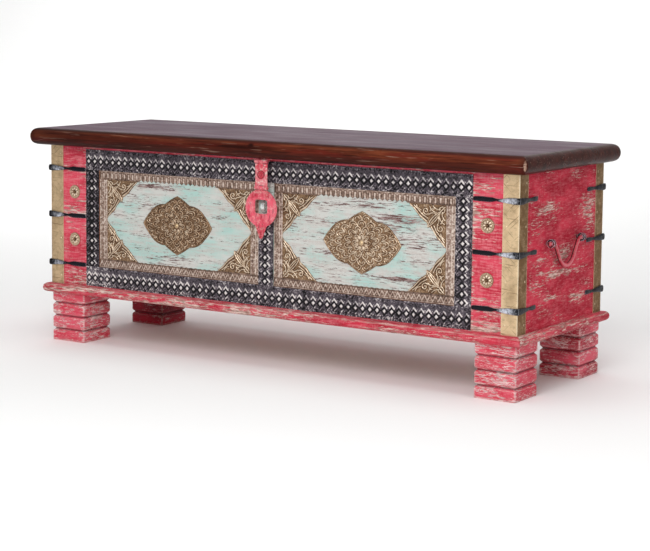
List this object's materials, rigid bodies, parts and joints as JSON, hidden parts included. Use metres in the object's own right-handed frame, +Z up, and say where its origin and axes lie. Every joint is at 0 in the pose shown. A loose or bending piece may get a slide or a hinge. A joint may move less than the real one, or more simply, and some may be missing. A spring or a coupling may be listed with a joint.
{
  "type": "wooden trunk",
  "caption": "Low wooden trunk on block legs: hinged lid, framed front with embossed metal borders and medallions, brass corner angles with iron straps, swinging hasp, drop handles.",
  "frame": {"origin": "on the floor, under the middle of the closed lid", "axes": "+X along the length, to the right as seen from the front; +Y towards the back; +Z up"},
  "size_m": [1.162, 0.404, 0.45],
  "materials": {
    "lid_wood": "dark stained hardwood, satin",
    "red_wood": "worn red paint over pale wood, matte",
    "mint_wood": "worn pale mint paint over wood, matte",
    "bare_wood": "bare sawn wood",
    "brass_sheet": "worn sheet brass",
    "embossed_brass": "antiqued embossed brass",
    "black_sheet": "blackened embossed sheet with rubbed highlights",
    "black_iron": "forged blackened iron",
    "red_iron": "iron under worn red paint",
    "screw_steel": "dull steel"
  },
  "bodies": {
    "trunk_body": {"front_left_stile": "red_wood", "front_right_stile": "red_wood", "front_top_rail": "red_wood", "front_bottom_rail": "red_wood", "left_end_boards": "red_wood", "right_end_boards": "red_wood", "back_boards": "red_wood", "base_front_moulding": "red_wood", "base_back_moulding": "red_wood", "base_left_moulding": "red_wood", "base_right_moulding": "red_wood", "front_left_leg": "red_wood", "front_right_leg": "red_wood", "rear_left_leg": "red_wood", "rear_right_leg": "red_wood", "front_mullion": "mint_wood", "front_left_panel": "mint_wood", "front_right_panel": "mint_wood", "bottom_boards": "bare_wood", "front_left_corner_angle": "brass_sheet", "front_right_corner_angle": "brass_sheet", "rear_left_corner_angle": "brass_sheet", "rear_right_corner_angle": "brass_sheet", "brass_nails": "brass_sheet", "left_panel_edging": "embossed_brass", "right_panel_edging": "embossed_brass", "left_panel_spandrels": "embossed_brass", "right_panel_spandrels": "embossed_brass", "left_medallion": "embossed_brass", "right_medallion": "embossed_brass", "stile_rosettes": "embossed_brass", "border_top": "black_sheet", "border_bottom": "black_sheet", "border_sides": "black_sheet", "border_centre": "black_sheet", "front_left_straps": "black_iron", "front_right_straps": "black_iron", "rear_left_straps": "black_iron", "rear_right_straps": "black_iron", "hasp_staple": "black_iron", "hinge_body_leaves": "black_iron", "hinge_pins": "black_iron", "left_handle_eyes": "red_iron", "right_handle_eyes": "red_iron", "leg_screws": "screw_steel", "hinge_body_screws": "screw_steel"},
    "lid": {"lid_front_plank": "lid_wood", "lid_middle_plank": "lid_wood", "lid_rear_plank": "lid_wood", "lid_battens": "bare_wood", "lid_screws": "screw_steel", "hinge_lid_leaves": "black_iron", "hasp_bracket": "red_iron", "hasp_bracket_pin": "red_iron"},
    "hasp_strap_link": {"hasp_strap": "red_iron", "hasp_rosette": "red_iron", "hasp_leaf_pin": "red_iron"},
    "hasp_leaf_link": {"hasp_leaf": "red_iron"},
    "right_bail": {"right_handle_bail": "red_iron"},
    "left_bail": {"left_handle_bail": "red_iron"}
  },
  "joints": [
    {"name": "lid_hinge", "type": "hinge", "parent": "trunk_body", "child": "lid", "pos_m": [0, 0.1898, 0.415], "axis": [-1, 0, 0], "range_deg": [0, 110]},
    {"name": "hasp_strap_swing", "type": "hinge", "parent": "lid", "child": "hasp_strap_link", "pos_m": [0, -0.182, 0.4095], "axis": [-1, 0, 0], "range_deg": [-2.5, 90]},
    {"name": "hasp_leaf_swing", "type": "hinge", "parent": "hasp_strap_link", "child": "hasp_leaf_link", "pos_m": [0, -0.182, 0.358], "axis": [-1, 0, 0], "range_deg": [-2.5, 90]},
    {"name": "right_handle_swing", "type": "hinge", "parent": "trunk_body", "child": "right_bail", "pos_m": [0.5605, 0.01, 0.28], "axis": [0, -1, 0], "range_deg": [-6, 170]},
    {"name": "left_handle_swing", "type": "hinge", "parent": "trunk_body", "child": "left_bail", "pos_m": [-0.5605, 0.01, 0.28], "axis": [0, 1, 0], "range_deg": [-6, 170]}
  ]
}
